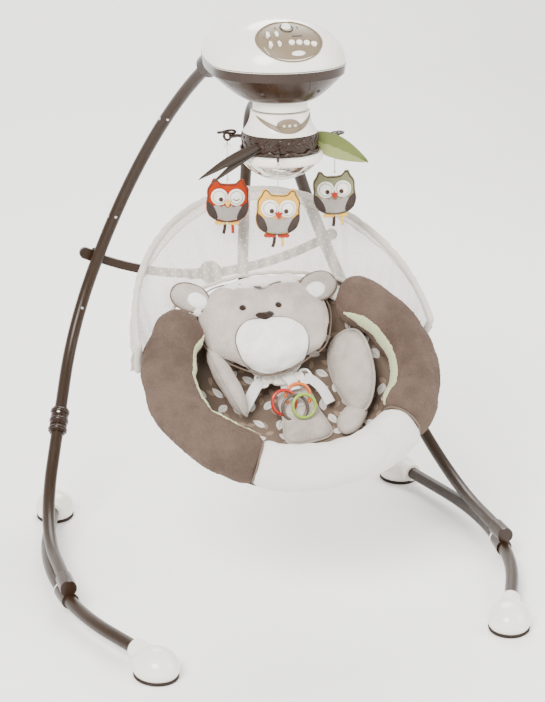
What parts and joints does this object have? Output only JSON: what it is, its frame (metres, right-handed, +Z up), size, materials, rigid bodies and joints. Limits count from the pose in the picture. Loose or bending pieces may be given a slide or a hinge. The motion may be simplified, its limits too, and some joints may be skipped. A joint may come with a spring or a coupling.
{
  "type": "baby swing",
  "caption": "Free-standing cradle swing with a padded reclined seat, netting canopy, turning toy mobile, motor head and folding tube frame.",
  "frame": {"origin": "on the floor at the middle of the bounding box", "axes": "+Z up, the seat faces -Y, +X is the right-hand side seen from the front"},
  "size_m": [0.9146, 0.9586, 1.08],
  "materials": {
    "steel_tube": "dark brown powder coat, satin",
    "plated_steel": "zinc plated",
    "brown_plastic": "dark brown, glossy",
    "cream_plastic": "warm white, glossy",
    "taupe_plastic": "taupe, satin",
    "mirror_plastic": "mirrored dome",
    "yellow_plush": "short plush",
    "red_plush": "short plush",
    "green_plush": "short plush",
    "toy_cord": "twisted cord",
    "brown_plush": "deep brown plush",
    "cream_fabric": "soft woven cotton",
    "printed_fabric": "cotton with a taupe leaf print",
    "bear_fabric": "grey-beige short plush",
    "red_ring": "glossy",
    "orange_ring": "glossy",
    "grey_ring": "glossy",
    "green_ring": "glossy",
    "hoop_rod": "sleeved rod",
    "netting": "sheer netting"
  },
  "bodies": {
    "motor_head": {"head_top_shell": "cream_plastic", "head_lower_shell": "brown_plastic", "control_panel": "taupe_plastic", "left_fold_pin": "plated_steel", "right_fold_pin": "plated_steel", "swing_axle": "plated_steel", "swing_motor": "plated_steel"},
    "power_button": {"power_button": "cream_plastic"},
    "mode_button_1": {"mode_button_1": "cream_plastic"},
    "mode_button_2": {"mode_button_2": "cream_plastic"},
    "mode_button_3": {"mode_button_3": "cream_plastic"},
    "mode_button_4": {"mode_button_4": "cream_plastic"},
    "volume_rocker": {"volume_rocker": "taupe_plastic"},
    "speed_rocker": {"speed_rocker": "taupe_plastic"},
    "left_leg": {"left_leg_upper": "steel_tube", "left_leg_lower": "steel_tube", "left_rail": "steel_tube", "left_saddle": "brown_plastic", "left_collar": "brown_plastic", "left_front_foot": "cream_plastic", "left_rear_foot": "cream_plastic"},
    "left_brace": {"left_brace": "brown_plastic"},
    "right_leg": {"right_leg_upper": "steel_tube", "right_leg_lower": "steel_tube", "right_rail": "steel_tube", "right_saddle": "brown_plastic", "right_collar": "brown_plastic", "right_front_foot": "cream_plastic", "right_rear_foot": "cream_plastic"},
    "right_brace": {"right_brace": "brown_plastic"},
    "swing_head": {"swing_neck": "cream_plastic"},
    "turret": {"turret_bell": "cream_plastic", "seat_hanger": "steel_tube"},
    "selector_button": {"selector_button": "taupe_plastic"},
    "mobile": {"mobile_ring": "brown_plastic", "mobile_bezel": "cream_plastic", "mobile_mirror": "mirror_plastic"},
    "owl_yellow": {"owl_yellow": "yellow_plush", "string_yellow": "toy_cord"},
    "owl_red": {"owl_red": "red_plush", "string_red": "toy_cord"},
    "owl_green": {"owl_green": "green_plush", "string_green": "toy_cord"},
    "seat": {"seat_frame": "plated_steel", "seat_shell": "brown_plastic", "seat_liner": "printed_fabric", "left_roll": "brown_plush", "front_roll": "cream_fabric", "right_roll": "brown_plush", "head_pad": "bear_fabric", "left_support": "printed_fabric", "right_support": "printed_fabric", "crotch_pad": "cream_fabric", "buckle": "cream_plastic", "canopy_hoop": "hoop_rod", "canopy_net": "netting"},
    "toy_rings": {"toy_ring_1": "red_ring", "toy_ring_2": "orange_ring", "toy_ring_3": "grey_ring", "toy_ring_4": "green_ring"}
  },
  "joints": [
    {"name": "power_press", "type": "slide", "parent": "motor_head", "child": "power_button", "axis": [0, 0.5446, -0.8387], "range_m": [0, 0.0018], "stiffness_N_per_m": 400, "springref_m": -0.002},
    {"name": "mode_press_1", "type": "slide", "parent": "motor_head", "child": "mode_button_1", "axis": [0, 0.5446, -0.8387], "range_m": [0, 0.0018], "stiffness_N_per_m": 400, "springref_m": -0.002},
    {"name": "mode_press_2", "type": "slide", "parent": "motor_head", "child": "mode_button_2", "axis": [0, 0.5446, -0.8387], "range_m": [0, 0.0018], "stiffness_N_per_m": 400, "springref_m": -0.002},
    {"name": "mode_press_3", "type": "slide", "parent": "motor_head", "child": "mode_button_3", "axis": [0, 0.5446, -0.8387], "range_m": [0, 0.0018], "stiffness_N_per_m": 400, "springref_m": -0.002},
    {"name": "mode_press_4", "type": "slide", "parent": "motor_head", "child": "mode_button_4", "axis": [0, 0.5446, -0.8387], "range_m": [0, 0.0018], "stiffness_N_per_m": 400, "springref_m": -0.002},
    {"name": "volume_rock", "type": "hinge", "parent": "motor_head", "child": "volume_rocker", "pos_m": [-0.03, -0.10946, 1.04954], "axis": [0, 0.8387, 0.5446], "range_deg": [-3, 3], "stiffness_Nm_per_rad": 0.5},
    {"name": "speed_rock", "type": "hinge", "parent": "motor_head", "child": "speed_rocker", "pos_m": [-0.03, -0.1287, 1.03601], "axis": [0, 0.8387, 0.5446], "range_deg": [-3, 3], "stiffness_Nm_per_rad": 0.5},
    {"name": "left_fold", "type": "hinge", "parent": "motor_head", "child": "left_leg", "pos_m": [-0.056, 0.12576, 0.985], "axis": [0, -1, 0], "range_deg": [0, 8]},
    {"name": "left_brace_fold", "type": "hinge", "parent": "left_leg", "child": "left_brace", "pos_m": [-0.24999, 0.46726, 0.512], "axis": [0, 1, 0], "range_deg": [0, 43]},
    {"name": "right_fold", "type": "hinge", "parent": "motor_head", "child": "right_leg", "pos_m": [0.056, 0.12576, 0.985], "axis": [0, 1, 0], "range_deg": [0, 8]},
    {"name": "right_brace_fold", "type": "hinge", "parent": "right_leg", "child": "right_brace", "pos_m": [0.24999, 0.46726, 0.512], "axis": [0, -1, 0], "range_deg": [0, 43]},
    {"name": "swing", "type": "hinge", "parent": "motor_head", "child": "swing_head", "pos_m": [0, -0.06424, 0.985], "axis": [0, 1, 0], "range_deg": [-10, 10]},
    {"name": "seat_turn", "type": "hinge", "parent": "swing_head", "child": "turret", "pos_m": [0, -0.06424, 0.898], "axis": [0, 0, 1], "range_deg": [-90, 90]},
    {"name": "selector_press", "type": "slide", "parent": "turret", "child": "selector_button", "axis": [0, 1, 0], "range_m": [0, 0.003], "stiffness_N_per_m": 400, "springref_m": -0.002},
    {"name": "mobile_spin", "type": "hinge", "parent": "turret", "child": "mobile", "pos_m": [0, -0.06424, 0.85], "axis": [0, 0, 1], "continuous": true},
    {"name": "owl_yellow_sway", "type": "hinge", "parent": "mobile", "child": "owl_yellow", "pos_m": [-0.03585, -0.17457, 0.852], "axis": [-0.309, -0.9511, 0], "range_deg": [-15, 15]},
    {"name": "owl_red_sway", "type": "hinge", "parent": "mobile", "child": "owl_red", "pos_m": [-0.07762, 0.02196, 0.852], "axis": [-0.6691, 0.7431, 0], "range_deg": [-15, 15]},
    {"name": "owl_green_sway", "type": "hinge", "parent": "mobile", "child": "owl_green", "pos_m": [0.11346, -0.04013, 0.852], "axis": [0.9781, 0.2079, 0], "range_deg": [-15, 15]},
    {"name": "recline", "type": "hinge", "parent": "turret", "child": "seat", "pos_m": [0, 0.10076, 0.372], "axis": [1, 0, 0], "range_deg": [0, 5]},
    {"name": "rings_lift", "type": "hinge", "parent": "seat", "child": "toy_rings", "pos_m": [0.008, -0.10383, 0.38998], "axis": [-1, 0, 0], "range_deg": [0, 35]}
  ],
  "couplings": [
    {"joint": "right_fold", "follows": "left_fold", "ratio": 1},
    {"joint": "left_brace_fold", "follows": "left_fold", "ratio": 5.28},
    {"joint": "right_brace_fold", "follows": "left_fold", "ratio": 5.28}
  ]
}
